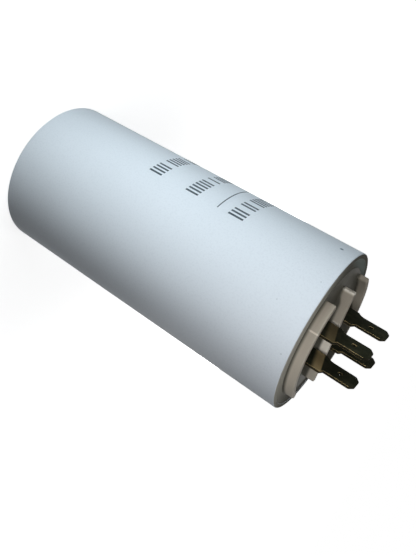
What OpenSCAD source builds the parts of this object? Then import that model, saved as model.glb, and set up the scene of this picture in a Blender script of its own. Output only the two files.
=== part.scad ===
// Round film capacitor in a moulded plastic case, standing on its closed end.
// Two double push-on terminals rise from a moulded plate that is cast into the open end.

/* [Case] */
// Outside diameter of the moulded case
case_d = 50; // [46:0.5:66]
// Height of the case from its closed end to its rim
case_h = 105.5; // [80:0.5:140]
// Thickness of the side wall
case_wall = 1.5; // [1.1:0.1:2.2]
// Thickness of the closed end
case_floor = 2; // [1.4:0.1:3.2]
// Rounding of the outer edge at the closed end
base_edge_r = 0.6; // [0.3:0.1:1.5]
// Rounding of the outer edge at the rim
rim_edge_r = 0.4; // [0.2:0.1:1]
// Rounding of the inner corner at the closed end
bore_edge_r = 1; // [0.4:0.1:2]
// Width of the flat ring that the case stands on
foot_ring_w = 8; // [4:0.5:11]
// Depth of the shallow hollow inside that ring
foot_hollow = 0.4; // [0.2:0.1:0.8]
// Diameter of the gate mark in the hollow
gate_d = 3; // [1:0.5:6]

/* [Terminal plate] */
// Width of the resin ring between the case and the plate
resin_ring_w = 2.9; // [2:0.1:5]
// Depth of the resin's surface below the rim
resin_drop = 0.2; // [0.1:0.05:0.5]
// Thickness of the plate's disc
plate_t = 3.8; // [2.4:0.1:5]
// Height of the plate's floor above the resin's surface
plate_proud = 0.1; // [0.05:0.05:0.8]
// Ledge between the plate's edge and the curved walls
wall_ledge = 0.3; // [0.1:0.1:1]
// Thickness of the two curved walls
wall_t = 1.7; // [1.1:0.1:2.6]
// Height of the curved walls above the plate's floor
wall_h = 3.1; // [1.6:0.1:5]
// Angle that each curved wall spans
wall_span = 101; // [60:1:130]
// Length of the rib between the terminals
rib_l = 31; // [22:0.5:36]
// Thickness of the rib
rib_t = 1.7; // [1.1:0.1:2.6]
// Height of the rib above the plate's floor
rib_h = 3.7; // [1.6:0.1:5.5]
// Rounding along the tops of the walls and the rib
fence_edge_r = 0.4; // [0.1:0.05:0.5]
// Clearance around a blade in its slot
slot_gap = 0.1; // [0.05:0.05:0.3]

/* [Terminals] */
// Width of a push-on blade
tab_w = 6.3; // [5.6:0.1:6.8]
// Thickness of the brass strip
tab_t = 0.8; // [0.5:0.1:1]
// Length of a blade above its shoulders
tab_l = 8.8; // [7:0.1:10]
// Width of the strip below the shoulders
tab_base_w = 8.9; // [8.2:0.1:9.4]
// Height of the shoulders above the plate's floor
shoulder_h = 6.6; // [4:0.1:9]
// Distance between the two blades of one terminal
tab_pitch = 9.7; // [8:0.1:12]
// Distance between the two terminals, across the rib
row_pitch = 14; // [12:0.1:17]
// Diameter of the latching hole in a blade
tab_hole_d = 1.6; // [1:0.1:2.6]
// Height of the latching hole above the shoulders
tab_hole_up = 3.7; // [2:0.1:5]
// Corner cut at the tip of a blade
tip_cut = 1.3; // [0.5:0.1:2]
// Length of the bevels that thin the tip
tip_bevel_l = 1; // [0.4:0.1:1.6]
// Depth of those bevels on each face
tip_bevel_d = 0.2; // [0.05:0.05:0.24]
// Drop of the short shoulder, on the -Y edge of each blade
short_drop = 0.7; // [0.2:0.1:1.2]
// Drop of the long hollow shoulder, on the +Y edge of each blade
long_drop = 2.4; // [2:0.1:2.8]
// Inner radius of the strip's bends
bend_r = 1.1; // [0.5:0.1:1.8]

/* [Winding] */
// Resin between the winding and the case
roll_gap = 1.7; // [0.5:0.1:3]
// Outside diameter of the winding core
core_d = 10; // [8:0.5:15]
// Bore of the winding core
core_bore_d = 7; // [4.5:0.5:7.5]
// Thickness of the metal sprayed on each end of the winding
spray_t = 0.6; // [0.3:0.1:1]

/* [Leads] */
// Diameter of the insulated leads
lead_d = 1.8; // [1:0.1:2.4]
// Bend radius along the middle of a lead
lead_bend_r = 2.4; // [1.8:0.1:2.9]
// Straight length at each end of a bent lead
lead_leg = 1.8; // [0.7:0.1:4]
// Resin under the lower lead
lead_cover = 1.2; // [0.4:0.1:3]
// Distance from the axis to the lower lead's joint
lower_joint_x = 10; // [8:0.5:15]
// Sideways step of the upper lead
upper_lead_step = 6.6; // [6:0.1:10]

/* [Hidden] */
$fn = 96;

case_r = case_d / 2;
bore_r = case_r - case_wall;
foot_r = case_r - foot_ring_w;
gate_clear = foot_hollow / 4;
cut_over = 1;

plate_r = bore_r - resin_ring_w;
wall_r = plate_r - wall_ledge;
resin_z = case_h - resin_drop;
floor_z = resin_z + plate_proud;
plate_under_z = floor_z - plate_t;
shoulder_z = floor_z + shoulder_h;
tip_z = shoulder_z + tab_l;

// The strip passes straight through its slots and turns below the plate.
bend_z = plate_under_z;
web_top_z = bend_z - bend_r;
web_z = web_top_z - tab_t;
strip_half_w = (tab_pitch + tab_t) / 2;
slot_l = tab_base_w + 2 * slot_gap;
slot_w = tab_t + 2 * slot_gap;

// The winding fills the height that the leads leave free.
under_room = lead_leg + lead_bend_r + lead_d / 2 + lead_cover;
head_room = 2 * (lead_leg + lead_bend_r);
lower_spray_z = case_floor + under_room;
roll_z = lower_spray_z + spray_t;
upper_spray_z = web_z - head_room - spray_t;
roll_l = upper_spray_z - roll_z;
roll_r = bore_r - roll_gap;

// Right half of a turned section, with its outer lower and upper corners rounded
module turned_half(r, h, low_r, high_r) {
    mid_h = h / 2;
    square([r - low_r, mid_h]);
    translate([0, low_r]) square([r, mid_h - low_r]);
    translate([r - low_r, low_r]) circle(low_r);
    translate([0, mid_h]) {
        square([r - high_r, mid_h]);
        square([r, mid_h - high_r]);
        translate([r - high_r, mid_h - high_r]) circle(high_r);
    }
}

// Upright bar section with both top corners rounded
module fence_section(t, h, edge_r) {
    square([t, h - edge_r]);
    translate([edge_r, 0]) square([t - 2 * edge_r, h]);
    translate([edge_r, h - edge_r]) circle(edge_r);
    translate([t - edge_r, h - edge_r]) circle(edge_r);
}

// Space inside the case, from its floor to a height above it
module case_cavity(h) {
    translate([0, 0, case_floor])
        rotate_extrude() {
            translate([0, bore_edge_r]) square([bore_r, h - bore_edge_r]);
            square([bore_r - bore_edge_r, h]);
            translate([bore_r - bore_edge_r, bore_edge_r]) circle(bore_edge_r);
        }
}

// Moulded cup with a flat standing ring and a gate mark under its closed end
module case() {
    color([0.86, 0.89, 0.93])
        difference() {
            rotate_extrude() turned_half(case_r, case_h, base_edge_r, rim_edge_r);
            case_cavity(case_h);
            difference() {
                translate([0, 0, -cut_over]) cylinder(r = foot_r, h = foot_hollow + cut_over);
                translate([0, 0, gate_clear]) cylinder(d = gate_d, h = foot_hollow);
            }
        }
}

// Disc of the terminal plate, without its walls and slots
module plate_disc() {
    translate([0, 0, plate_under_z]) cylinder(r = plate_r, h = plate_t);
}

// Curved wall near the plate's edge, centred on an angle
module curved_wall(middle) {
    rotate([0, 0, middle - wall_span / 2])
        rotate_extrude(angle = wall_span)
            translate([wall_r - wall_t, floor_z - cut_over])
                fence_section(wall_t, wall_h + cut_over, fence_edge_r);
}

// Straight rib that keeps the two terminals apart
module middle_rib() {
    translate([-rib_l / 2, -rib_t / 2, floor_z - cut_over])
        rotate([90, 0, 90])
            linear_extrude(rib_l)
                fence_section(rib_t, rib_h + cut_over, fence_edge_r);
}

// Moulded plate with two curved walls, a rib and four blade slots
module terminal_plate() {
    color([0.83, 0.8, 0.74])
        difference() {
            union() {
                plate_disc();
                for (middle = [-90, 90]) curved_wall(middle);
                middle_rib();
            }
            for (x = [-1, 1] * tab_pitch / 2, y = [-1, 1] * row_pitch / 2)
                translate([x - slot_w / 2, y - slot_l / 2, plate_under_z - cut_over])
                    cube([slot_w, slot_l, plate_t + 2 * cut_over]);
        }
}

// One leg of the folded strip seen along Y: blade, bevelled tip and bend
module strip_leg() {
    inner_x = strip_half_w - tab_t;
    polygon([
        [inner_x, bend_z],
        [strip_half_w, bend_z],
        [strip_half_w, tip_z - tip_bevel_l],
        [strip_half_w - tip_bevel_d, tip_z],
        [inner_x + tip_bevel_d, tip_z],
        [inner_x, tip_z - tip_bevel_l],
    ]);
    translate([inner_x - bend_r, bend_z])
        intersection() {
            difference() {
                circle(bend_r + tab_t);
                circle(bend_r);
            }
            translate([0, -bend_r - tab_t]) square(bend_r + tab_t);
        }
}

// Folded strip seen along Y: two legs joined by a web
module strip_fold() {
    strip_leg();
    mirror([1, 0]) strip_leg();
    web_half_l = strip_half_w - tab_t - bend_r;
    translate([-web_half_l, web_z]) square([2 * web_half_l, tab_t]);
}

// Stamped strip seen along X: wide base, a short and a hollow shoulder, cut tip corners
module strip_stamping() {
    base = tab_base_w / 2;
    half = tab_w / 2;
    step_w = base - half;
    hollow_r = (step_w * step_w + long_drop * long_drop) / (2 * step_w);
    hollow_z = shoulder_z + long_drop / 3;
    polygon([
        [-base, web_z],
        [half, web_z],
        [half, tip_z - tip_cut],
        [half - tip_cut, tip_z],
        [tip_cut - half, tip_z],
        [-half, tip_z - tip_cut],
        [-half, shoulder_z],
        [-base, shoulder_z - short_drop],
    ]);
    translate([half, web_z])
        difference() {
            square([step_w, hollow_z - web_z]);
            translate([hollow_r, hollow_z - web_z]) circle(hollow_r);
        }
}

// Brass strip folded into a U, with two blades for push-on connectors
module terminal(y) {
    color([0.3, 0.27, 0.17])
        translate([0, y, 0])
            difference() {
                intersection() {
                    rotate([90, 0, 0]) linear_extrude(2 * tab_base_w, center = true) strip_fold();
                    rotate([90, 0, 90]) linear_extrude(4 * strip_half_w, center = true) strip_stamping();
                }
                translate([0, 0, shoulder_z + tab_hole_up])
                    rotate([0, 90, 0]) cylinder(d = tab_hole_d, h = 4 * strip_half_w, center = true);
            }
}

module terminal_near() {
    terminal(-row_pitch / 2);
}

module terminal_far() {
    terminal(row_pitch / 2);
}

// Wound metallised film, all turns as one solid
module wound_element() {
    color([0.72, 0.74, 0.76])
        translate([0, 0, roll_z])
            difference() {
                cylinder(r = roll_r, h = roll_l);
                translate([0, 0, -cut_over]) cylinder(d = core_d, h = roll_l + 2 * cut_over);
            }
}

// Plastic tube that the film is wound on
module winding_core() {
    color([0.9, 0.9, 0.85])
        translate([0, 0, roll_z])
            difference() {
                cylinder(d = core_d, h = roll_l);
                translate([0, 0, -cut_over]) cylinder(d = core_bore_d, h = roll_l + 2 * cut_over);
            }
}

// Layer of sprayed metal that joins the film edges at one end
module end_spray(z) {
    color([0.6, 0.6, 0.58])
        translate([0, 0, z])
            difference() {
                cylinder(r = roll_r, h = spray_t);
                translate([0, 0, -cut_over]) cylinder(d = core_bore_d, h = spray_t + 2 * cut_over);
            }
}

module upper_end_spray() {
    end_spray(upper_spray_z);
}

module lower_end_spray() {
    end_spray(lower_spray_z);
}

// Quarter bend about the origin in the XZ plane, from an angle through 90 degrees
module lead_elbow(start) {
    rotate([90, 0, 0])
        rotate([0, 0, start])
            rotate_extrude(angle = 90)
                translate([lead_bend_r, 0]) circle(d = lead_d);
}

// Level run of a lead along X
module lead_level(l) {
    rotate([0, 90, 0]) cylinder(d = lead_d, h = l);
}

// Lead that rises from the origin, steps sideways along X and rises to its joint
module stepped_lead(step) {
    level_z = lead_leg + lead_bend_r;
    cylinder(d = lead_d, h = lead_leg);
    translate([lead_bend_r, 0, lead_leg]) lead_elbow(90);
    translate([lead_bend_r, 0, level_z]) lead_level(step - 2 * lead_bend_r);
    translate([step - lead_bend_r, 0, level_z + lead_bend_r]) lead_elbow(-90);
    translate([step, 0, level_z + lead_bend_r]) cylinder(d = lead_d, h = lead_leg);
}

// Lead from the upper end of the winding to the near terminal
module upper_lead() {
    color([0.75, 0.2, 0.15])
        translate([0, -row_pitch / 2 - upper_lead_step, upper_spray_z + spray_t])
            rotate([0, 0, 90]) stepped_lead(upper_lead_step);
}

// Lead from the lower end, turned up through the winding core to the far terminal
module lower_lead() {
    turn_z = lower_spray_z - lead_leg;
    step_z = upper_spray_z + spray_t;
    color([0.15, 0.25, 0.6]) {
        translate([lower_joint_x, 0, turn_z]) cylinder(d = lead_d, h = lead_leg);
        translate([lower_joint_x - lead_bend_r, 0, turn_z]) lead_elbow(-90);
        translate([lead_bend_r, 0, turn_z - lead_bend_r]) lead_level(lower_joint_x - 2 * lead_bend_r);
        translate([lead_bend_r, 0, turn_z]) lead_elbow(180);
        translate([0, 0, turn_z]) cylinder(d = lead_d, h = step_z - turn_z);
        translate([0, 0, step_z]) rotate([0, 0, 90]) stepped_lead(row_pitch / 2);
    }
}

// Potting resin, cast round everything in the case
module resin_fill() {
    color([0.36, 0.35, 0.32])
        difference() {
            case_cavity(resin_z - case_floor);
            plate_disc();
            terminal_near();
            terminal_far();
            wound_element();
            winding_core();
            upper_end_spray();
            lower_end_spray();
            upper_lead();
            lower_lead();
        }
}

case();
resin_fill();
terminal_plate();
terminal_near();
terminal_far();
wound_element();
winding_core();
upper_end_spray();
lower_end_spray();
upper_lead();
lower_lead();
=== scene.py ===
# %% [markdown]
# # A film capacitor in a white plastic case
#
# The capacitor is a plastic cup that is closed at one end and filled with resin. A cream moulding
# with two curved walls and a rib sits in the open end. Two folded brass strips come up through it
# and give four push-on blades. The CAD frame already holds every solid at its true size and place,
# so this lesson never moves them. It gives them soft edges, finishes, print and light.

# %% Load the frame
import math

import bmesh
import bpy
from mathutils import Euler, Matrix, Vector


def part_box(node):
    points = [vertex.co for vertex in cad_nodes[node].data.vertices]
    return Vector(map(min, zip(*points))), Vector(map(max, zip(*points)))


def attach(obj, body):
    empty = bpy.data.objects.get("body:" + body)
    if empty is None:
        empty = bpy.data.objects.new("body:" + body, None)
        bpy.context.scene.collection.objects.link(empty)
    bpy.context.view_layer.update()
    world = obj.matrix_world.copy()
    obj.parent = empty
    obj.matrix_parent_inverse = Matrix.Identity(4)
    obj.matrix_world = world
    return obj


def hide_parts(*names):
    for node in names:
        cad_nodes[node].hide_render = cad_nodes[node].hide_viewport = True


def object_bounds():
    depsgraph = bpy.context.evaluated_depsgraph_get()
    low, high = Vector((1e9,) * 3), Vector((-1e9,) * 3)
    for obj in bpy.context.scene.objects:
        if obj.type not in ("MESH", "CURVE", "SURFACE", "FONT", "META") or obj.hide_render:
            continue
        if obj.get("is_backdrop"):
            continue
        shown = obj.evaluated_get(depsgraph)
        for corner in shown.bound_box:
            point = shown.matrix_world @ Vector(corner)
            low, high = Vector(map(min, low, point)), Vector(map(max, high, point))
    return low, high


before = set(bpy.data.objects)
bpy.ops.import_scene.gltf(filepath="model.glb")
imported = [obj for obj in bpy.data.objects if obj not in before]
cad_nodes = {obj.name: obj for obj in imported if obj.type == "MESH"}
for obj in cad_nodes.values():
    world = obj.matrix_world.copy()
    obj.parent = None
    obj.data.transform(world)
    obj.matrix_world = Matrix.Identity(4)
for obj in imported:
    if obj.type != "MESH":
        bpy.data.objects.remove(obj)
cad_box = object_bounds()
print("CAD nodes:", ", ".join(sorted(cad_nodes)))

# %% [markdown]
# ## Sizes that the pieces share
#
# Blender works in metres here, and a capacitor is easier to think of in millimetres, so one value
# turns the one into the other. The main sizes are read from the boxes of the CAD nodes. A piece
# that is built from them follows the CAD model when that model is resized.

# %% Read the main sizes
MM = 0.001
CASE_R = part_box("case")[1][0]
RIM_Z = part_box("case")[1][2]
BORE_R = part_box("resin_fill")[1][0]
BORE_FLOOR_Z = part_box("resin_fill")[0][2]
RESIN_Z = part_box("resin_fill")[1][2]
PLATE_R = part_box("terminal_plate")[1][0]
RIB_TOP_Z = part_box("terminal_plate")[1][2]
TIP_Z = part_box("terminal_near")[1][2]
print("case radius %.1f mm, rim at %.1f mm, blade tips at %.1f mm"
      % (CASE_R / MM, RIM_Z / MM, TIP_Z / MM))

# %% [markdown]
# ## Finishes are small trees of shader nodes
#
# Every surface of the real object varies a little: plastic has a grain, resin is uneven and brass
# tarnishes in patches. A picture could show that, but it would have to be wrapped round each piece.
# Noise that reads the Object coordinates needs no wrapping and keeps its real scale, so it is used
# here. One helper adds a shader node and fills its inputs, with a link where it is handed a socket.
# The others are built on it.

# %% Helpers for finishes
def linear(red, green, blue):
    """A colour as a picture shows it, 0 to 255, in the linear values that a shader uses."""
    def channel(value):
        share = value / 255
        return share / 12.92 if share <= 0.04045 else ((share + 0.055) / 1.055) ** 2.4
    return (channel(red), channel(green), channel(blue), 1.0)


def start_finish(name, roughness, specular, metallic=0.0):
    """A new material and its main shader, with the values that are the same all over it."""
    finish = bpy.data.materials.new(name)
    finish.use_nodes = True
    shader = finish.node_tree.nodes["Principled BSDF"]
    shader.inputs["Roughness"].default_value = roughness
    shader.inputs["Specular IOR Level"].default_value = specular
    shader.inputs["Metallic"].default_value = metallic
    return finish, shader


def add(finish, kind, values, **settings):
    """A shader node of that kind. A value that is a socket is linked, any other is set."""
    node = finish.node_tree.nodes.new(kind)
    for name, setting in settings.items():
        setattr(node, name, setting)
    for socket, value in values.items():
        if isinstance(value, bpy.types.NodeSocket):
            finish.node_tree.links.new(value, node.inputs[socket])
        else:
            node.inputs[socket].default_value = value
    return node


def place(finish):
    """The point of the surface in the object's own coordinates, in metres."""
    return add(finish, "ShaderNodeTexCoord", {}).outputs["Object"]


def blotches(finish, size, detail=2.0, stretch=(1, 1, 1)):
    """Noise whose patches are about that size, in metres. A stretch makes them long."""
    squeeze = tuple(1 / share for share in stretch)
    spot = add(finish, "ShaderNodeMapping", {"Vector": place(finish), "Scale": squeeze})
    noise = add(finish, "ShaderNodeTexNoise",
                {"Vector": spot.outputs["Vector"], "Scale": 1 / size, "Detail": detail})
    return noise.outputs["Fac"]


def fade(finish, amount, start, end):
    """0 up to the start value, 1 from the end value, smooth between them."""
    step = add(finish, "ShaderNodeMapRange",
               {"Value": amount, "From Min": start, "From Max": end}, interpolation_type="SMOOTHSTEP")
    return step.outputs["Result"]


def mix(finish, amount, under, over):
    """The under colour, turning into the over colour as the amount goes from 0 to 1."""
    # The node's colour sockets share their names with others, so they are picked by number.
    FACTOR, UNDER, OVER, RESULT = 0, 6, 7, 2
    node = add(finish, "ShaderNodeMix", {FACTOR: amount, UNDER: under, OVER: over}, data_type="RGBA")
    return node.outputs[RESULT]


def maths(finish, operation, *amounts):
    """What an operation such as ADD, MAXIMUM or ABSOLUTE makes of these amounts."""
    node = add(finish, "ShaderNodeMath", dict(enumerate(amounts)), operation=operation)
    return node.outputs["Value"]


def times(finish, first, second):
    """Two amounts multiplied."""
    return maths(finish, "MULTIPLY", first, second)


def measure(finish, operation, *vectors):
    """The number that an operation such as LENGTH, DISTANCE or DOT_PRODUCT makes of vectors."""
    node = add(finish, "ShaderNodeVectorMath", dict(enumerate(vectors)), operation=operation)
    return node.outputs["Value"]


def colour(finish, shader, socket):
    """Give the main shader that colour."""
    finish.node_tree.links.new(socket, shader.inputs["Base Color"])


def relief(finish, shader, height, depth, strength):
    """Make the surface look uneven by that depth, in metres."""
    bump = add(finish, "ShaderNodeBump", {"Height": height, "Distance": depth, "Strength": strength})
    finish.node_tree.links.new(bump.outputs["Normal"], shader.inputs["Normal"])


print("finish helpers ready")

# %% [markdown]
# ## Satin plastic of the case
#
# The case is moulded in a cool white plastic with a very fine grain. The grain breaks up the
# reflections, which gives the soft satin look. A slow change of tone keeps the long side from
# looking like a computer's flat white. A few specks sit in the plastic. Each is a small ball in
# space, and the finish is grey where the surface runs through it.

# %% Case finish
CASE_WHITE = linear(224, 231, 238)
CASE_SHADE = linear(216, 223, 230)
CASE_GRAIN = linear(206, 213, 221)
CASE_PATCH = 30 * MM
GRAIN_SIZE = 0.5 * MM
GRAIN_FROM, GRAIN_FULL = 0.45, 0.7
GRAIN_SHARE = 0.3
CASE_BUMPS = 0.4 * MM
SPECK_GREY = linear(112, 128, 140)
SPECK_PALE = linear(196, 204, 211)
SPECK_CORE = 0.3
SPECKS = (
    # angle round the case in degrees, height below the rim and radius in mm, and its colour
    (-179.0, 4.6, 0.75, SPECK_GREY),
    (-94.9, 2.1, 0.35, SPECK_PALE),
    (-143.9, 2.7, 0.3, SPECK_PALE),
    (-121.4, 9.6, 0.3, SPECK_PALE),
    (-45.8, 6.9, 0.5, SPECK_PALE),
)


def on_case(angle, height, radius=CASE_R):
    """The point of the case's side at an angle in degrees and a height in metres."""
    turn = math.radians(angle)
    return Vector((radius * math.cos(turn), radius * math.sin(turn), height))


case_plastic, shader = start_finish("case_plastic", roughness=0.55, specular=0.06)
tone = mix(case_plastic, blotches(case_plastic, CASE_PATCH), CASE_SHADE, CASE_WHITE)
grain = fade(case_plastic, blotches(case_plastic, GRAIN_SIZE), GRAIN_FROM, GRAIN_FULL)
tone = mix(case_plastic, times(case_plastic, grain, GRAIN_SHARE), tone, CASE_GRAIN)
for angle, drop, radius, grey in SPECKS:
    speck = on_case(angle, RIM_Z - drop * MM)
    away = measure(case_plastic, "DISTANCE", place(case_plastic), speck)
    clear = fade(case_plastic, away, SPECK_CORE * radius * MM, radius * MM)
    tone = mix(case_plastic, clear, grey, tone)
colour(case_plastic, shader, tone)
bumps = blotches(case_plastic, CASE_BUMPS, detail=3.0)
relief(case_plastic, shader, bumps, depth=0.03 * MM, strength=0.3)
print("case finish with", len(SPECKS), "specks")

# %% [markdown]
# ## Cast resin
#
# The resin was poured in as a liquid and set hard. Its surface is dull, a little uneven and warm
# grey. Noise gives it a slow change of tone and a quick unevenness. Towards one side of the mouth it
# is painted paler, as painted light from that side, and a small patch by the rim is a painted
# reflection in a cooler grey. How far a point lies towards each of these sides mixes the tones. The
# cool patch stays below the rim.

# %% Resin finish
RESIN_LIGHT = linear(104, 102, 93)
RESIN_DARK = linear(82, 80, 71)
RESIN_PATCH = 6 * MM
RESIN_BUMPS = 1.5 * MM
# Painted light: the resin is painted paler towards the side that the mouth light comes from.
LIT_SIDE_PALE = linear(200, 197, 186)
LIT_SIDE = math.radians(-95)
LIT_SIDE_FROM, LIT_SIDE_FULL = 0.1 * CASE_R, CASE_R
# Painted reflection: a cooler grey patch on the resin by the rim, on one side.
REFLECTION_GREY = linear(134, 142, 136)
REFLECTION_SIDE = math.radians(150)
REFLECTION_FROM, REFLECTION_FULL = 0.74 * CASE_R, 0.88 * CASE_R


def distance_towards(finish, side):
    """How far the surface lies from the axis, in metres, in the direction of an angle."""
    return measure(finish, "DOT_PRODUCT", place(finish), (math.cos(side), math.sin(side), 0))


potting_resin, shader = start_finish("potting_resin", roughness=0.6, specular=0.01)
grey = mix(potting_resin, blotches(potting_resin, RESIN_PATCH), RESIN_DARK, RESIN_LIGHT)
# Painted reflection on one side, below the rim.
on_side = fade(potting_resin, distance_towards(potting_resin, REFLECTION_SIDE), REFLECTION_FROM, REFLECTION_FULL)
height = add(potting_resin, "ShaderNodeSeparateXYZ", {"Vector": place(potting_resin)}).outputs["Z"]
below_rim = fade(potting_resin, height, RIM_Z, (RIM_Z + RESIN_Z) / 2)
grey = mix(potting_resin, times(potting_resin, on_side, below_rim), grey, REFLECTION_GREY)
# Painted light: paler towards one side of the mouth.
towards_lit_side = fade(potting_resin, distance_towards(potting_resin, LIT_SIDE), LIT_SIDE_FROM, LIT_SIDE_FULL)
colour(potting_resin, shader, mix(potting_resin, towards_lit_side, grey, LIT_SIDE_PALE))
relief(potting_resin, shader, blotches(potting_resin, RESIN_BUMPS), depth=0.1 * MM, strength=0.4)
print("resin finish of", len(potting_resin.node_tree.nodes), "shader nodes")

# %% [markdown]
# ## Cream plastic of the terminal plate
#
# The plate with its walls and rib is one moulding in a cream plastic that has yellowed a little.
# One side of it has aged more than the other, and noise makes the border uneven. The rib is painted
# paler in its middle, between the blades, and on one end, as painted light that falls between the
# blades and on the end. An upright pale line on one wall is a painted highlight.

# %% Plate tones
PLATE_CREAM = linear(202, 194, 180)
PLATE_WORN = linear(166, 157, 143)
AGE_PATCH = 5 * MM
AGE_SHIFT = 8 * MM
# Painted light on the rib: paler between the blades and at one end.
RIB_LIT_CREAM = linear(250, 243, 229)
RIB_REACH = 1.2 * MM
RIB_LIT_HALF = 4.5 * MM
RIB_END_FROM, RIB_END_FULL = -14.4 * MM, -15.4 * MM
# Painted highlight: a pale upright line on the outside of one wall.
HIGHLIGHT_PALE = linear(222, 214, 200)
HIGHLIGHT_ANGLE = math.radians(-115)
HIGHLIGHT_HALF = 0.16 * MM
HIGHLIGHT_FROM, HIGHLIGHT_FULL = -PLATE_R / 2, -PLATE_R * 0.6

plate_plastic, shader = start_finish("plate_plastic", roughness=0.5, specular=0.04)
spot = add(plate_plastic, "ShaderNodeSeparateXYZ", {"Vector": place(plate_plastic)})
x, y, z = (spot.outputs[axis] for axis in "XYZ")

shift = times(plate_plastic, blotches(plate_plastic, AGE_PATCH), AGE_SHIFT)
fresh = fade(plate_plastic, maths(plate_plastic, "ADD", x, shift), -PLATE_R, PLATE_R)
cream = mix(plate_plastic, fresh, PLATE_WORN, PLATE_CREAM)

# Painted light: the rib is paler in its middle and at one end.
off_middle = maths(plate_plastic, "ABSOLUTE", x)
rib_middle = fade(plate_plastic, off_middle, RIB_LIT_HALF + MM, RIB_LIT_HALF)
rib_end = fade(plate_plastic, x, RIB_END_FROM, RIB_END_FULL)
on_rib = fade(plate_plastic, maths(plate_plastic, "ABSOLUTE", y), 2 * RIB_REACH, RIB_REACH)
rib_painted_light = times(plate_plastic, on_rib, maths(plate_plastic, "MAXIMUM", rib_middle, rib_end))
cream = mix(plate_plastic, rib_painted_light, cream, RIB_LIT_CREAM)

# Painted highlight along an upright line of that wall.
across_highlight = distance_towards(plate_plastic, HIGHLIGHT_ANGLE + math.pi / 2)
off_highlight = maths(plate_plastic, "ABSOLUTE", across_highlight)
on_highlight = times(plate_plastic, fade(plate_plastic, off_highlight, 2 * HIGHLIGHT_HALF, HIGHLIGHT_HALF),
                fade(plate_plastic, y, HIGHLIGHT_FROM, HIGHLIGHT_FULL))
cream = mix(plate_plastic, on_highlight, cream, HIGHLIGHT_PALE)
print("plate tones of", len(plate_plastic.node_tree.nodes), "shader nodes")

# %% [markdown]
# ## Resin stain and painted shade on the plate
#
# The plate's floor and the corners where the walls and the rib stand up turn to the resin's grey,
# partly as a resin stain and partly as painted shade. The height above the resin says where that
# is, so the finish turns to the resin's grey towards it. It climbs higher on the rib, except near
# one end, as painted shadow of the near wall, and higher and higher along the inside of the far
# wall, as painted shadow of the blades and the rib. Where it climbs, the height is counted from
# further up.

# %% Plate stain and painted shade
# Partly resin stain and partly painted shade in the corners.
STAIN_SHADE_LOW = 0.15 * MM
STAIN_SHADE_HIGH = 1.1 * MM
# Painted shadow of the near wall on the foot of the rib.
RIB_SHADOW_UP = 0.75 * MM
RIB_SHADOW_FROM, RIB_SHADOW_FULL = -13.5 * MM, -10.5 * MM
# Painted shadow of the blades and the rib on the inside of the far wall.
WALL_SHADOW_UP = 3.0 * MM
WALL_SHADOW_FROM, WALL_SHADOW_FULL = -5 * MM, 4 * MM
WALL_OUTSIDE, WALL_INSIDE = PLATE_R - 1.45 * MM, PLATE_R - 1.85 * MM
FAR_FROM, FAR_FULL = PLATE_R / 4, PLATE_R / 2
PLATE_BUMPS = 0.5 * MM

# Painted shadow: the grey climbs higher on the rib.
rib_shadow = times(plate_plastic, on_rib, fade(plate_plastic, x, RIB_SHADOW_FROM, RIB_SHADOW_FULL))
level = maths(plate_plastic, "MULTIPLY_ADD", rib_shadow, -RIB_SHADOW_UP, z)

flat = add(plate_plastic, "ShaderNodeVectorMath", {0: place(plate_plastic), 1: (1, 1, 0)},
           operation="MULTIPLY")
from_axis = measure(plate_plastic, "LENGTH", flat.outputs["Vector"])
# Painted shadow: the grey climbs the inside of the far wall.
far_shadow_reach = times(plate_plastic, fade(plate_plastic, y, FAR_FROM, FAR_FULL),
                  fade(plate_plastic, x, WALL_SHADOW_FROM, WALL_SHADOW_FULL))
far_wall_shadow = times(plate_plastic, far_shadow_reach,
                    fade(plate_plastic, from_axis, WALL_OUTSIDE, WALL_INSIDE))
level = maths(plate_plastic, "MULTIPLY_ADD", far_wall_shadow, -WALL_SHADOW_UP, level)

# Resin stain with painted shade where the floor meets the walls and the rib.
free_of_stain_and_shade = fade(plate_plastic, level, RESIN_Z + STAIN_SHADE_LOW, RESIN_Z + STAIN_SHADE_HIGH)
stain_and_shade = mix(plate_plastic, blotches(plate_plastic, RESIN_PATCH), RESIN_DARK, RESIN_LIGHT)
colour(plate_plastic, shader, mix(plate_plastic, free_of_stain_and_shade, stain_and_shade, cream))
relief(plate_plastic, shader, blotches(plate_plastic, PLATE_BUMPS), depth=0.02 * MM, strength=0.3)
print("plate finish of", len(plate_plastic.node_tree.nodes), "shader nodes")

# %% [markdown]
# ## Tarnished brass
#
# The blades were punched from brass strip and have gone nearly black. Two places are brighter: the
# sharp corners, where the tarnish is rubbed off and the brass is painted bright as a glint, and a
# brown band of painted light just above the walls on the near strip. So there is one finish for the
# faces of each strip, one for its punched edges and one for the rubbed corners with their painted
# glint. All are dull, because the tarnish is an oxide and hardly reflects.

# %% Brass finishes
TARNISH_BLACK = linear(39, 41, 30)
TARNISH_BROWN = linear(55, 54, 41)
# Painted light: a lit brown band on the near strip just above the walls.
LIT_BAND_BROWN = linear(168, 149, 110)
EDGE_DARK = linear(34, 32, 23)
EDGE_BROWN = linear(60, 54, 40)
# Worn brass of the rubbed corners, painted bright as a glint.
WORN_GLINT_DARK = linear(164, 143, 97)
WORN_GLINT_BRASS = linear(230, 202, 140)
TARNISH_PATCH = 2.5 * MM
TARNISH_FROM, TARNISH_FULL = 0.4, 0.75
BRASS_BUMPS = 0.25 * MM
LIT_BAND_LEVELS = (0.1 * MM, 1.7 * MM, 3.2 * MM, 3.6 * MM)
LIT_BAND_SLOPE = 0.25
LIT_BAND_LEFT, LIT_BAND_RIGHT = 0.4, 1.0


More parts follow.
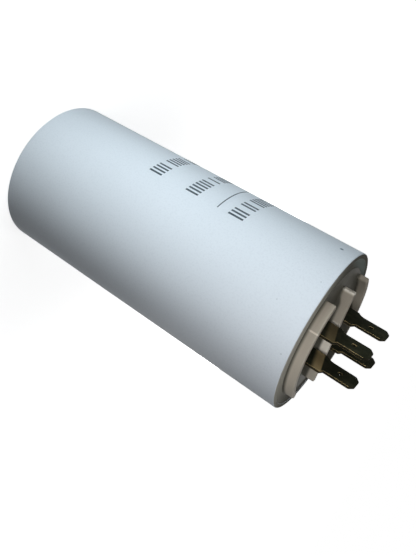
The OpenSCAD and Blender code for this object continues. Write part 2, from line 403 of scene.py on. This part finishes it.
def brass_finish(name, dark, bright, roughness, specular, with_lit_band=False):
    """Patchy tarnish from dark to bright, with a brown band of painted light above the plate's walls if
    asked.
    """
    finish, shader = start_finish(name, roughness, specular)
    patches = blotches(finish, TARNISH_PATCH, detail=4.0)
    skin = mix(finish, fade(finish, patches, TARNISH_FROM, TARNISH_FULL), dark, bright)
    # Painted light: a brown band, slanted like the edge of a shadow.
    if with_lit_band:
        spot = add(finish, "ShaderNodeSeparateXYZ", {"Vector": place(finish)})
        sloped = measure(finish, "DOT_PRODUCT", place(finish), (0, LIT_BAND_SLOPE, 1))
        low, low_full, high_full, high = (RESIN_Z + level for level in LIT_BAND_LEVELS)
        lit_band_mask = times(finish, fade(finish, sloped, low, low_full),
                     fade(finish, sloped, high, high_full))
        side = add(finish, "ShaderNodeMapRange",
                   {"Value": spot.outputs["X"], "From Min": -MM, "From Max": MM,
                    "To Min": LIT_BAND_LEFT, "To Max": LIT_BAND_RIGHT}).outputs["Result"]
        skin = mix(finish, times(finish, lit_band_mask, side), skin, LIT_BAND_BROWN)
    colour(finish, shader, skin)
    relief(finish, shader, blotches(finish, BRASS_BUMPS), depth=0.02 * MM, strength=0.3)
    return finish


brass_faces = {
    "near": brass_finish("tarnished_brass_near", TARNISH_BLACK, TARNISH_BROWN,
                         roughness=0.7, specular=0.02, with_lit_band=True),
    "far": brass_finish("tarnished_brass_far", TARNISH_BLACK, TARNISH_BROWN,
                        roughness=0.7, specular=0.02),
}
brass_edge = brass_finish("punched_brass_edge", EDGE_DARK, EDGE_BROWN,
                          roughness=0.7, specular=0.05)
# Rubbed corners, painted bright as a glint.
brass_corner_glint = brass_finish("worn_glint_brass_corner", WORN_GLINT_DARK, WORN_GLINT_BRASS,
                            roughness=0.45, specular=0.3)
for finish in (*brass_faces.values(), brass_edge, brass_corner_glint):
    print("brass finish:", finish.name)

# %% [markdown]
# ## Finishes for what is inside
#
# The winding, its core, the sprayed ends and the two leads can't be seen in the finished part.
# Someone who opens the case in another scene will see them, so they are finished as well: film
# with fine lines along its height, speckled zinc and soft coloured sleeves.

# %% Inner finishes
def plain_finish(name, dark, bright, patch, roughness, specular, metallic=0.0, stretch=(1, 1, 1)):
    """Two tones of one colour in patches of one size."""
    finish, shader = start_finish(name, roughness, specular, metallic)
    bright_share = blotches(finish, patch, detail=4.0, stretch=stretch)
    colour(finish, shader, mix(finish, bright_share, dark, bright))
    return finish


inner_finishes = {
    "wound_element": plain_finish("metallised_film", linear(168, 172, 177), linear(196, 200, 204),
                                  1.2 * MM, roughness=0.3, specular=0.5, stretch=(1, 1, 30)),
    "winding_core": plain_finish("core_plastic", linear(214, 214, 200), linear(232, 232, 220),
                                 4 * MM, roughness=0.5, specular=0.4),
    "upper_end_spray": plain_finish("sprayed_zinc", linear(136, 136, 131), linear(170, 170, 166),
                                    0.5 * MM, roughness=0.7, specular=0.5, metallic=0.6),
    "upper_lead": plain_finish("upper_lead_sleeve", linear(176, 44, 34), linear(196, 56, 42),
                               2 * MM, roughness=0.5, specular=0.4),
    "lower_lead": plain_finish("lower_lead_sleeve", linear(34, 58, 142), linear(44, 70, 160),
                               2 * MM, roughness=0.5, specular=0.4),
}
inner_finishes["lower_end_spray"] = inner_finishes["upper_end_spray"]
for name, finish in inner_finishes.items():
    cad_nodes[name].data.materials.clear()
    cad_nodes[name].data.materials.append(finish)
cad_nodes["resin_fill"].data.materials.clear()
cad_nodes["resin_fill"].data.materials.append(potting_resin)
print("inner nodes finished:", ", ".join(inner_finishes))

# %% [markdown]
# ## Turning a section round the axis
#
# The case is round, so half of its section, turned once about the Z axis, gives all of it. That is
# cleaner than a cylinder with parts cut away, and the section can be read from the list of points.
# The corners are sharp at first. A bevel on the circle that a corner leaves behind rounds it.

# %% Helpers for shapes
ROUND_STEPS = 256
CLOSE = 0.002 * MM


def lathe(bm, section, closed=False):
    """Turn a section of (radius, height) points, in metres, once about the Z axis."""
    points = [bm.verts.new((radius, 0, height)) for radius, height in section]
    ends = points + points[:1] if closed else points
    lines = [bm.edges.new(pair) for pair in zip(ends, ends[1:])]
    bmesh.ops.spin(bm, geom=points + lines, axis=(0, 0, 1), cent=(0, 0, 0),
                   angle=math.tau, steps=ROUND_STEPS, use_merge=True)
    bmesh.ops.remove_doubles(bm, verts=bm.verts, dist=CLOSE / 10)
    bmesh.ops.recalc_face_normals(bm, faces=bm.faces)


def round_edges(bm, edges, width, segments):
    """Round these edges off by that width."""
    bmesh.ops.bevel(bm, geom=edges, offset=width, offset_type="OFFSET", affect="EDGES",
                    segments=segments, profile=0.5, material=-1, clamp_overlap=True)


def circle_at(bm, radius, height):
    """The edges that lie on a circle about the Z axis."""
    def lies_on(vert):
        return abs(vert.co.xy.length - radius) < CLOSE and abs(vert.co.z - height) < CLOSE
    return [edge for edge in bm.edges if all(lies_on(vert) for vert in edge.verts)]


def finish_piece(name, bm, finishes, stands_for=None, smooth_below=40):
    """Make the mesh an object that rides with the part and takes its place in the frame."""
    bmesh.ops.dissolve_degenerate(bm, dist=CLOSE / 2, edges=bm.edges)
    mesh = bpy.data.meshes.new(name)
    bm.to_mesh(mesh)
    bm.free()
    for finish in finishes:
        mesh.materials.append(finish)
    mesh.shade_smooth()
    mesh.set_sharp_from_angle(angle=math.radians(smooth_below))
    piece = bpy.data.objects.new(name, mesh)
    bpy.context.scene.collection.objects.link(piece)
    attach(piece, "root")
    if stands_for:
        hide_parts(stands_for)
    print(name, "has", len(mesh.polygons), "faces")


print("a section is turned in", ROUND_STEPS, "steps")

# %% [markdown]
# ## The case
#
# The case stands on a flat ring. Inside the ring the closed end is slightly hollow, with the round
# mark of the moulding gate in its middle. The outer edges are rounded, the one at the closed end a
# little more than the one at the rim. The faces on top of the rim take the resin's finish and are
# grey. Along most of the inner edge the case's white is left, and a thin white line shows there.

# %% Model the case
FOOT_R = 17 * MM
FOOT_HOLLOW = 0.4 * MM
GATE_R = 1.5 * MM
GATE_LOW = 0.1 * MM
BASE_ROUND = 0.6 * MM
RIM_ROUND = 0.4 * MM
FINE_ROUND = 0.12 * MM
RESIN_TOP_DEEP = 0.12 * MM
BARE_EDGE_FROM = -12 * MM
PLASTIC, RESIN_TOP = 0, 1

bm = bmesh.new()
lathe(bm, [
    (0, GATE_LOW), (GATE_R, GATE_LOW), (GATE_R, FOOT_HOLLOW), (FOOT_R, FOOT_HOLLOW), (FOOT_R, 0),
    (CASE_R, 0), (CASE_R, RIM_Z), (BORE_R, RIM_Z), (BORE_R, BORE_FLOOR_Z), (0, BORE_FLOOR_Z),
])
round_edges(bm, circle_at(bm, CASE_R, RIM_Z), RIM_ROUND, segments=5)
round_edges(bm, circle_at(bm, CASE_R, 0), BASE_ROUND, segments=5)
for radius, height in ((BORE_R, RIM_Z), (FOOT_R, 0), (GATE_R, GATE_LOW)):
    round_edges(bm, circle_at(bm, radius, height), FINE_ROUND, segments=3)
for face in bm.faces:
    spot = face.calc_center_median()
    bare_edge = spot.xy.length < BORE_R + FINE_ROUND and spot.x > BARE_EDGE_FROM
    face.material_index = RESIN_TOP if spot.z > RIM_Z - RESIN_TOP_DEEP and not bare_edge else PLASTIC
finish_piece("case_shell", bm, [case_plastic, potting_resin], stands_for="case")

# %% [markdown]
# ## A resin bead along the bore
#
# Liquid resin climbs a little where it meets the case, and sets like that. The bead is a ring with
# a three-cornered section. It could be part of the big resin solid, but a separate ring leaves the
# CAD solid as it is.

# %% Model the resin bead
BEAD_UP = 0.12 * MM
BEAD_ACROSS = 0.45 * MM
BEAD_DEEP = 0.05 * MM

bm = bmesh.new()
lathe(bm, [(BORE_R, RESIN_Z - BEAD_DEEP), (BORE_R, RESIN_Z + BEAD_UP),
           (BORE_R - BEAD_ACROSS, RESIN_Z - BEAD_DEEP)], closed=True)
finish_piece("resin_beads", bm, [potting_resin])

# %% [markdown]
# ## Soft copies of the CAD solids
#
# The plate and the brass strips have the right shape already, but their edges are perfectly sharp,
# and real moulded or punched edges never are. The CAD mesh is made of loose triangles. A copy of
# it is merged, its flat faces are joined up, and then every sharp edge is rounded by a bevel.

# %% Helper for soft copies
SHARP = math.radians(25)
FLAT = math.radians(0.5)


def merged_copy(node):
    """The CAD node's mesh as one closed skin with whole flat faces."""
    bm = bmesh.new()
    bm.from_mesh(cad_nodes[node].data)
    bmesh.ops.remove_doubles(bm, verts=bm.verts, dist=CLOSE)
    bmesh.ops.dissolve_limit(bm, angle_limit=FLAT, verts=bm.verts, edges=bm.edges)
    return bm


def sharp_edges(bm):
    """The edges where two faces meet at a clear angle."""
    return [edge for edge in bm.edges if edge.is_manifold and edge.calc_face_angle() > SHARP]


print("an edge counts as sharp from %.0f degrees" % math.degrees(SHARP))

# %% [markdown]
# ## The terminal plate
#
# The mould leaves the ends of the walls and of the rib with rounder corners than the rest, so
# their upright edges get a wider bevel before all other edges get a fine one.

# %% Model the plate
END_ROUND = 0.32 * MM
PLATE_FINE = 0.1 * MM
END_CORNERS = 6
UPRIGHT, LEVEL = 0.01, 0.99


def is_end(face):
    """Whether this is the upright end of a wall or of the rib, whose rounded top has many corners."""
    return abs(face.normal.z) < UPRIGHT and len(face.verts) > END_CORNERS


bm = merged_copy("terminal_plate")
floor_z = min(face.calc_center_median().z for face in bm.faces if face.normal.z > LEVEL)
end_edges = [edge for edge in sharp_edges(bm) if any(is_end(face) for face in edge.link_faces)
             and max(vert.co.z for vert in edge.verts) > floor_z + CLOSE]
round_edges(bm, end_edges, END_ROUND, segments=4)
round_edges(bm, sharp_edges(bm), PLATE_FINE, segments=2)
finish_piece("terminal_plate_moulding", bm, [plate_plastic],
             stands_for="terminal_plate")

# %% [markdown]
# ## The brass strips
#
# A punch leaves a fine rounding on one side of the metal and a small burr on the other. A very
# small bevel stands for both, and the corners of the tips get a wider one. A strip's faces look
# along X and its punched edges look along Y or up. What looks between the two is the bevel itself,
# and it takes the finish of the rubbed corners with their painted glint, except at the tips. No
# light comes through the latching holes from the side, so they are drawn in a little, with a finer
# bevel on their rims.

# %% Model the strips
STRIP_FINE = 0.055 * MM
TIP_LENGTH = 1.5 * MM
TIP_ROUND = 0.3 * MM
HOLE_REACH = 1.0 * MM
HOLE_SHRINK = 0.8
HOLE_FINE = 0.05 * MM
THROUGH = 0.99
FACE_FROM, CORNER_FROM = 0.95, 0.25
FACE, EDGE, GLINT_CORNER = 0, 1, 2


def is_tip_corner(edge):
    """Whether the edge goes through the metal, along X, at one of a blade's tip corners."""
    along = edge.verts[1].co - edge.verts[0].co
    lowest = min(vert.co.z for vert in edge.verts)
    return abs(along.x) > THROUGH * along.length and lowest > TIP_Z - TIP_LENGTH


def is_hole_edge(edge, middle_y):
    """Whether the edge is part of a latching hole, in the middle of a blade and clear of its tip."""
    middle = (edge.verts[0].co + edge.verts[1].co) / 2
    return abs(middle.y - middle_y) < HOLE_REACH and RIB_TOP_Z < middle.z < TIP_Z - TIP_LENGTH


def finish_of(face):
    """The finish of a strip's face: broad face, punched edge or rubbed corner with a painted glint."""
    along_x = abs(face.normal.x)
    if along_x > FACE_FROM:
        return FACE
    # Rubbed corners, painted bright as a glint, clear of the tips.
    bare_edge = along_x > CORNER_FROM and face.calc_center_median().z < TIP_Z - TIP_LENGTH
    return GLINT_CORNER if bare_edge else EDGE


for row in ("near", "far"):
    bm = merged_copy("terminal_" + row)
    low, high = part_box("terminal_" + row)
    middle_y = (low[1] + high[1]) / 2
    hole_edges = [edge for edge in sharp_edges(bm) if is_hole_edge(edge, middle_y)]
    hole_verts = list(dict.fromkeys(vert for edge in hole_edges for vert in edge.verts))
    hole_axis = sum((vert.co for vert in hole_verts), Vector()) / len(hole_verts)
    bmesh.ops.scale(bm, vec=(1, HOLE_SHRINK, HOLE_SHRINK), space=Matrix.Translation(-hole_axis),
                    verts=hole_verts)
    print("latching hole axis %.2f mm above the rim" % ((hole_axis.z - RIM_Z) / MM))
    tip_corners = [edge for edge in sharp_edges(bm) if is_tip_corner(edge)]
    round_edges(bm, tip_corners, TIP_ROUND, segments=3)
    outline = [edge for edge in sharp_edges(bm) if not is_hole_edge(edge, middle_y)]
    round_edges(bm, outline, STRIP_FINE, segments=2)
    hole_rims = [edge for edge in sharp_edges(bm) if is_hole_edge(edge, middle_y)]
    round_edges(bm, hole_rims, HOLE_FINE, segments=1)
    for face in bm.faces:
        face.material_index = finish_of(face)
    finish_piece("terminal_%s_strip" % row, bm,
                 [brass_faces[row], brass_edge, brass_corner_glint], stands_for="terminal_" + row)

# %% [markdown]
# ## Ink of the print
#
# The print on the case is a dark grey ink that has worn a little, so it gets two tones in patches.

# %% Print finish
INK_DARK = linear(56, 66, 74)
INK_WORN = linear(88, 99, 108)

print_ink = plain_finish("print_ink", INK_DARK, INK_WORN, 0.8 * MM, roughness=0.6, specular=0.2)
print("ink finish of", len(print_ink.node_tree.nodes), "shader nodes")

# %% [markdown]
# ## Print on the case
#
# Three rows of print and one thin rule run round the case. The part is plain, so the rows hold no
# words: they are upright strokes of equal height in groups. Each stroke starts as one upright line
# on the case and is swept a little way round the axis. A thin solid is made of it, so that it has a
# front, a back and edges like a real layer of ink. The rows go clockwise from a common margin and
# climb slightly on the way, by a height for each degree.

# %% Model the print
INK_PROUD = 0.015 * MM
MARGIN = -154.5
PRINT_CLIMB = 0.03 * MM
STROKE_W = 0.7 * MM
STROKE_PITCH = 1.45 * MM
GROUP_GAP = 1.5 * MM
PRINT_ROWS = (
    # lower edge and height of a row in mm, and the number of strokes in each of its groups
    (41.2, 4.6, (4, 5, 3, 4)),
    (55.0, 4.4, (6, 1, 5, 4)),
    (70.2, 5.0, (3, 2, 5, 4)),
)
RULE_Z = 66.4
RULE_H = 0.35
RULE_TURN = 62.0
PER_DEGREE = math.radians(1) * CASE_R


def ink_patch(bm, angle, turn, low, high):
    """A patch of ink that starts at an angle and goes round clockwise by a turn, in degrees."""
    radius = CASE_R + INK_PROUD
    climb = PRINT_CLIMB * (MARGIN - angle)
    line = [bm.verts.new(on_case(angle, height + climb, radius)) for height in (low, high)]
    edge = bm.edges.new(line)
    bmesh.ops.spin(bm, geom=line + [edge], axis=(0, 0, 1), cent=(0, 0, 0),
                   angle=-math.radians(turn), steps=max(2, round(turn)))


bm = bmesh.new()
for low, tall, groups in PRINT_ROWS:
    angle = MARGIN
    for strokes in groups:
        for _ in range(strokes):
            ink_patch(bm, angle, STROKE_W / PER_DEGREE, low * MM, (low + tall) * MM)
            angle -= STROKE_PITCH / PER_DEGREE
        angle -= GROUP_GAP / PER_DEGREE
ink_patch(bm, MARGIN, RULE_TURN, RULE_Z * MM, (RULE_Z + RULE_H) * MM)
for face in bm.faces:
    if face.normal.dot(face.calc_center_median().xy.to_3d()) < 0:
        face.normal_flip()
bmesh.ops.solidify(bm, geom=bm.faces[:], thickness=2 * INK_PROUD)
finish_piece("printed_rows", bm, [print_ink])

# %% [markdown]
# ## Camera
#
# The camera stands a little above the terminals and looks down at the case from the side where
# the print begins. Its place was worked out from the outline of the case and the edges of the
# blades. It is rolled, so that the upright capacitor lies across the picture.

# %% Place the camera
CAMERA_AT = Vector((-88.80, -159.33, 137.44)) * MM
CAMERA_TURN = (-46.019, -51.148, 116.834)
CAMERA_LENS = 40.81
CAMERA_SHIFT = (0.0423, -0.1147)
CLIP_START = 10 * MM

lens = bpy.data.cameras.new("camera")
lens.lens = CAMERA_LENS
lens.shift_x, lens.shift_y = CAMERA_SHIFT
lens.clip_start = CLIP_START
camera = bpy.data.objects.new("camera", lens)
camera.location = CAMERA_AT
camera.rotation_euler = Euler([math.radians(turn) for turn in CAMERA_TURN])
bpy.context.scene.collection.objects.link(camera)
bpy.context.scene.camera = camera
bpy.context.scene.view_settings.view_transform = "Standard"
print("camera %.0f mm from the axis" % (camera.location.xy.length / MM))

# %% [markdown]
# ## Background
#
# The background is plain white. A white world would light the object from all round and wash out
# its shading, so the world is white only for rays that come from the camera, or that a shiny or
# clear surface sends on. All other rays meet a dim, slightly blue room.

# %% Build the background
ROOM_BLUE = (0.80, 0.90, 1.0, 1.0)
ROOM_LEVEL = 0.02
WHITE = (1, 1, 1, 1)


def seen_directly(finish):
    """1 for camera, mirror and clear-glass rays, 0 for the rays that light things."""
    path = add(finish, "ShaderNodeLightPath", {})
    seen = path.outputs["Is Camera Ray"]
    for name in ("Is Glossy Ray", "Is Transmission Ray"):
        seen = maths(finish, "MAXIMUM", seen, path.outputs[name])
    return seen


world = bpy.data.worlds.new("studio")
bpy.context.scene.world = world
world.use_nodes = True
room = world.node_tree.nodes["Background"]
room.inputs["Color"].default_value = ROOM_BLUE
room.inputs["Strength"].default_value = ROOM_LEVEL
white = add(world, "ShaderNodeBackground", {"Color": WHITE})
choice = add(world, "ShaderNodeMixShader",
             {0: seen_directly(world), 1: room.outputs[0], 2: white.outputs[0]})
world_output = world.node_tree.nodes["World Output"]
world.node_tree.links.new(choice.outputs[0], world_output.inputs["Surface"])
print("room light at %.0f %% of white" % (100 * ROOM_LEVEL))

# %% [markdown]
# ## Floor
#
# The floor is white for the same rays as the world. Near the object it keeps a share of real light,
# so that the shadow still shows on it. Further away it is as white as the world, and no horizon
# shows.

# %% Build the floor
FLOOR_HALF = 3.0
GLOW_NEAR, GLOW_FAR = 0.74, 1.0
GLOW_FROM, GLOW_FULL = 0.03, 0.16
FLOOR_SEEN = (0.6, 0.6, 0.6, 1.0)
FLOOR_LIT = (0.08, 0.08, 0.08, 1.0)

floor_paint = bpy.data.materials.new("floor_paint")
floor_paint.use_nodes = True
tree = floor_paint.node_tree
tree.nodes.remove(tree.nodes["Principled BSDF"])
dim = add(floor_paint, "ShaderNodeBsdfDiffuse", {"Color": FLOOR_LIT})
matt = add(floor_paint, "ShaderNodeBsdfDiffuse", {"Color": FLOOR_SEEN})
away = measure(floor_paint, "LENGTH", place(floor_paint))
level = add(floor_paint, "ShaderNodeMapRange",
            {"Value": away, "From Min": GLOW_FROM, "From Max": GLOW_FULL,
             "To Min": GLOW_NEAR, "To Max": GLOW_FAR}, interpolation_type="SMOOTHSTEP")
glow = add(floor_paint, "ShaderNodeEmission", {"Color": WHITE, "Strength": level.outputs["Result"]})
both = add(floor_paint, "ShaderNodeAddShader", {0: matt.outputs[0], 1: glow.outputs[0]})
choice = add(floor_paint, "ShaderNodeMixShader",
             {0: seen_directly(floor_paint), 1: dim.outputs[0], 2: both.outputs[0]})
tree.links.new(choice.outputs[0], tree.nodes["Material Output"].inputs["Surface"])

bm = bmesh.new()
bmesh.ops.create_grid(bm, x_segments=1, y_segments=1, size=FLOOR_HALF)
floor_mesh = bpy.data.meshes.new("floor")
bm.to_mesh(floor_mesh)
bm.free()
floor_mesh.materials.append(floor_paint)
floor = bpy.data.objects.new("floor", floor_mesh)
bpy.context.scene.collection.objects.link(floor)
floor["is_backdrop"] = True
print("floor %.0f m wide" % (2 * FLOOR_HALF))

# %% [markdown]
# ## Soft studio lamps
#
# The main light is cool and comes from low on the left, so the side of the case is bright and the
# open end stays in shade. A small lamp near the closed end lifts the bright band there. Three weak
# lamps pick out what stands in the mouth: one in front, one above it and one that grazes the rim.
# One on the right keeps the dark side from going black, and one behind lights the back for views
# from there.

# %% Place the lamps
COOL = (0.86, 0.96, 1.0)
NEUTRAL = (1.0, 1.0, 1.0)
WARM = (1.0, 0.93, 0.88)
LAMPS = (
    # name, bearing and rise in degrees, distance and height of the aim in mm,
    # width and height in mm, power in W and colour
    ("main_lamp", -155, 0, 150, 38, 100, 60, 0.14, COOL),
    ("low_lamp", -138, 0, 110, 18, 60, 40, 0.009, WARM),
    ("mouth_lamp", -106, 10, 120, 108, 50, 40, 0.047, NEUTRAL),
    ("upper_lamp", -110, 50, 250, 105, 120, 120, 0.09, NEUTRAL),
    ("rim_lamp", -172, 4, 120, 107, 50, 20, 0.0065, NEUTRAL),
    ("right_lamp", 0, 0, 160, 20, 70, 50, 0.024, NEUTRAL),
    ("back_lamp", 61, 0, 300, 42, 100, 70, 0.6, NEUTRAL),
)


def towards(bearing, rise):
    """The direction with that bearing round the case and that rise above level, in degrees."""
    flat, up = math.radians(bearing), math.radians(rise)
    return Vector((math.cos(flat) * math.cos(up), math.sin(flat) * math.cos(up), math.sin(up)))


for name, bearing, rise, distance, aim_height, width, tall, power, tint in LAMPS:
    glow = bpy.data.lights.new(name, "AREA")
    glow.shape = "RECTANGLE"
    glow.size, glow.size_y = width * MM, tall * MM
    glow.energy = power
    glow.color = tint
    lamp = bpy.data.objects.new(name, glow)
    aim = Vector((0, 0, aim_height * MM))
    lamp.location = aim + distance * MM * towards(bearing, rise)
    lamp.rotation_euler = (aim - lamp.location).to_track_quat("-Z", "Y").to_euler()
    lamp.visible_camera = False
    bpy.context.scene.collection.objects.link(lamp)
print(len(LAMPS), "lamps")

# %% [markdown]
# ## Size of the dressed part
#
# The box of the CAD model and the box of the dressed part, which may reach past it by the
# thickness of the ink, are printed.

sizes = {"cad": [list(corner) for corner in cad_box], "visual": [list(corner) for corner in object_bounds()]}
for name, box in sizes.items():
    print(name, "box in mm:", [[round(side / MM, 2) for side in corner] for corner in box])
